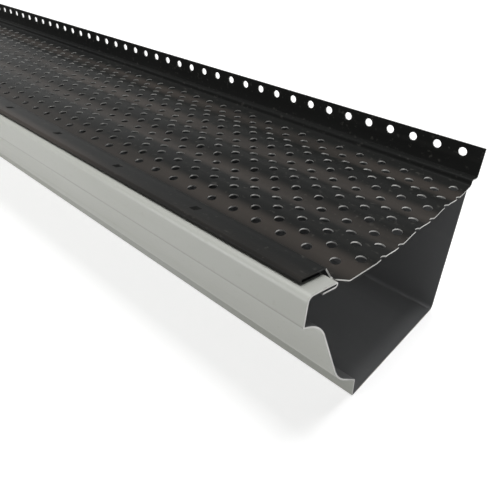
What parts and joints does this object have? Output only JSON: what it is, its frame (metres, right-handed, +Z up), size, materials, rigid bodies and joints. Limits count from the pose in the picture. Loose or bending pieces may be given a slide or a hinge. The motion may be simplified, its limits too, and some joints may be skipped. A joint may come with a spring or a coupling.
{
  "type": "gutter section with leaf guard",
  "caption": "Length of ogee (K-style) eaves gutter with a perforated, waved leaf guard resting on its front lip and back edge, flange up at the rear.",
  "frame": {"origin": "under the middle of the whole section's bounding box, on the plane that the gutter's flat bottom rests on", "axes": "+X along the stock to the end where the guard stands 3 mm past the gutter, +Y back to the wall, so the ogee front faces -Y, +Z up"},
  "size_m": [1.2222, 0.127, 0.0976],
  "materials": {
    "gutter_paint": "satin",
    "guard_paint": "gloss"
  },
  "bodies": {
    "root": {"gutter_trough": "gutter_paint", "leaf_guard": "guard_paint"}
  },
  "joints": []
}
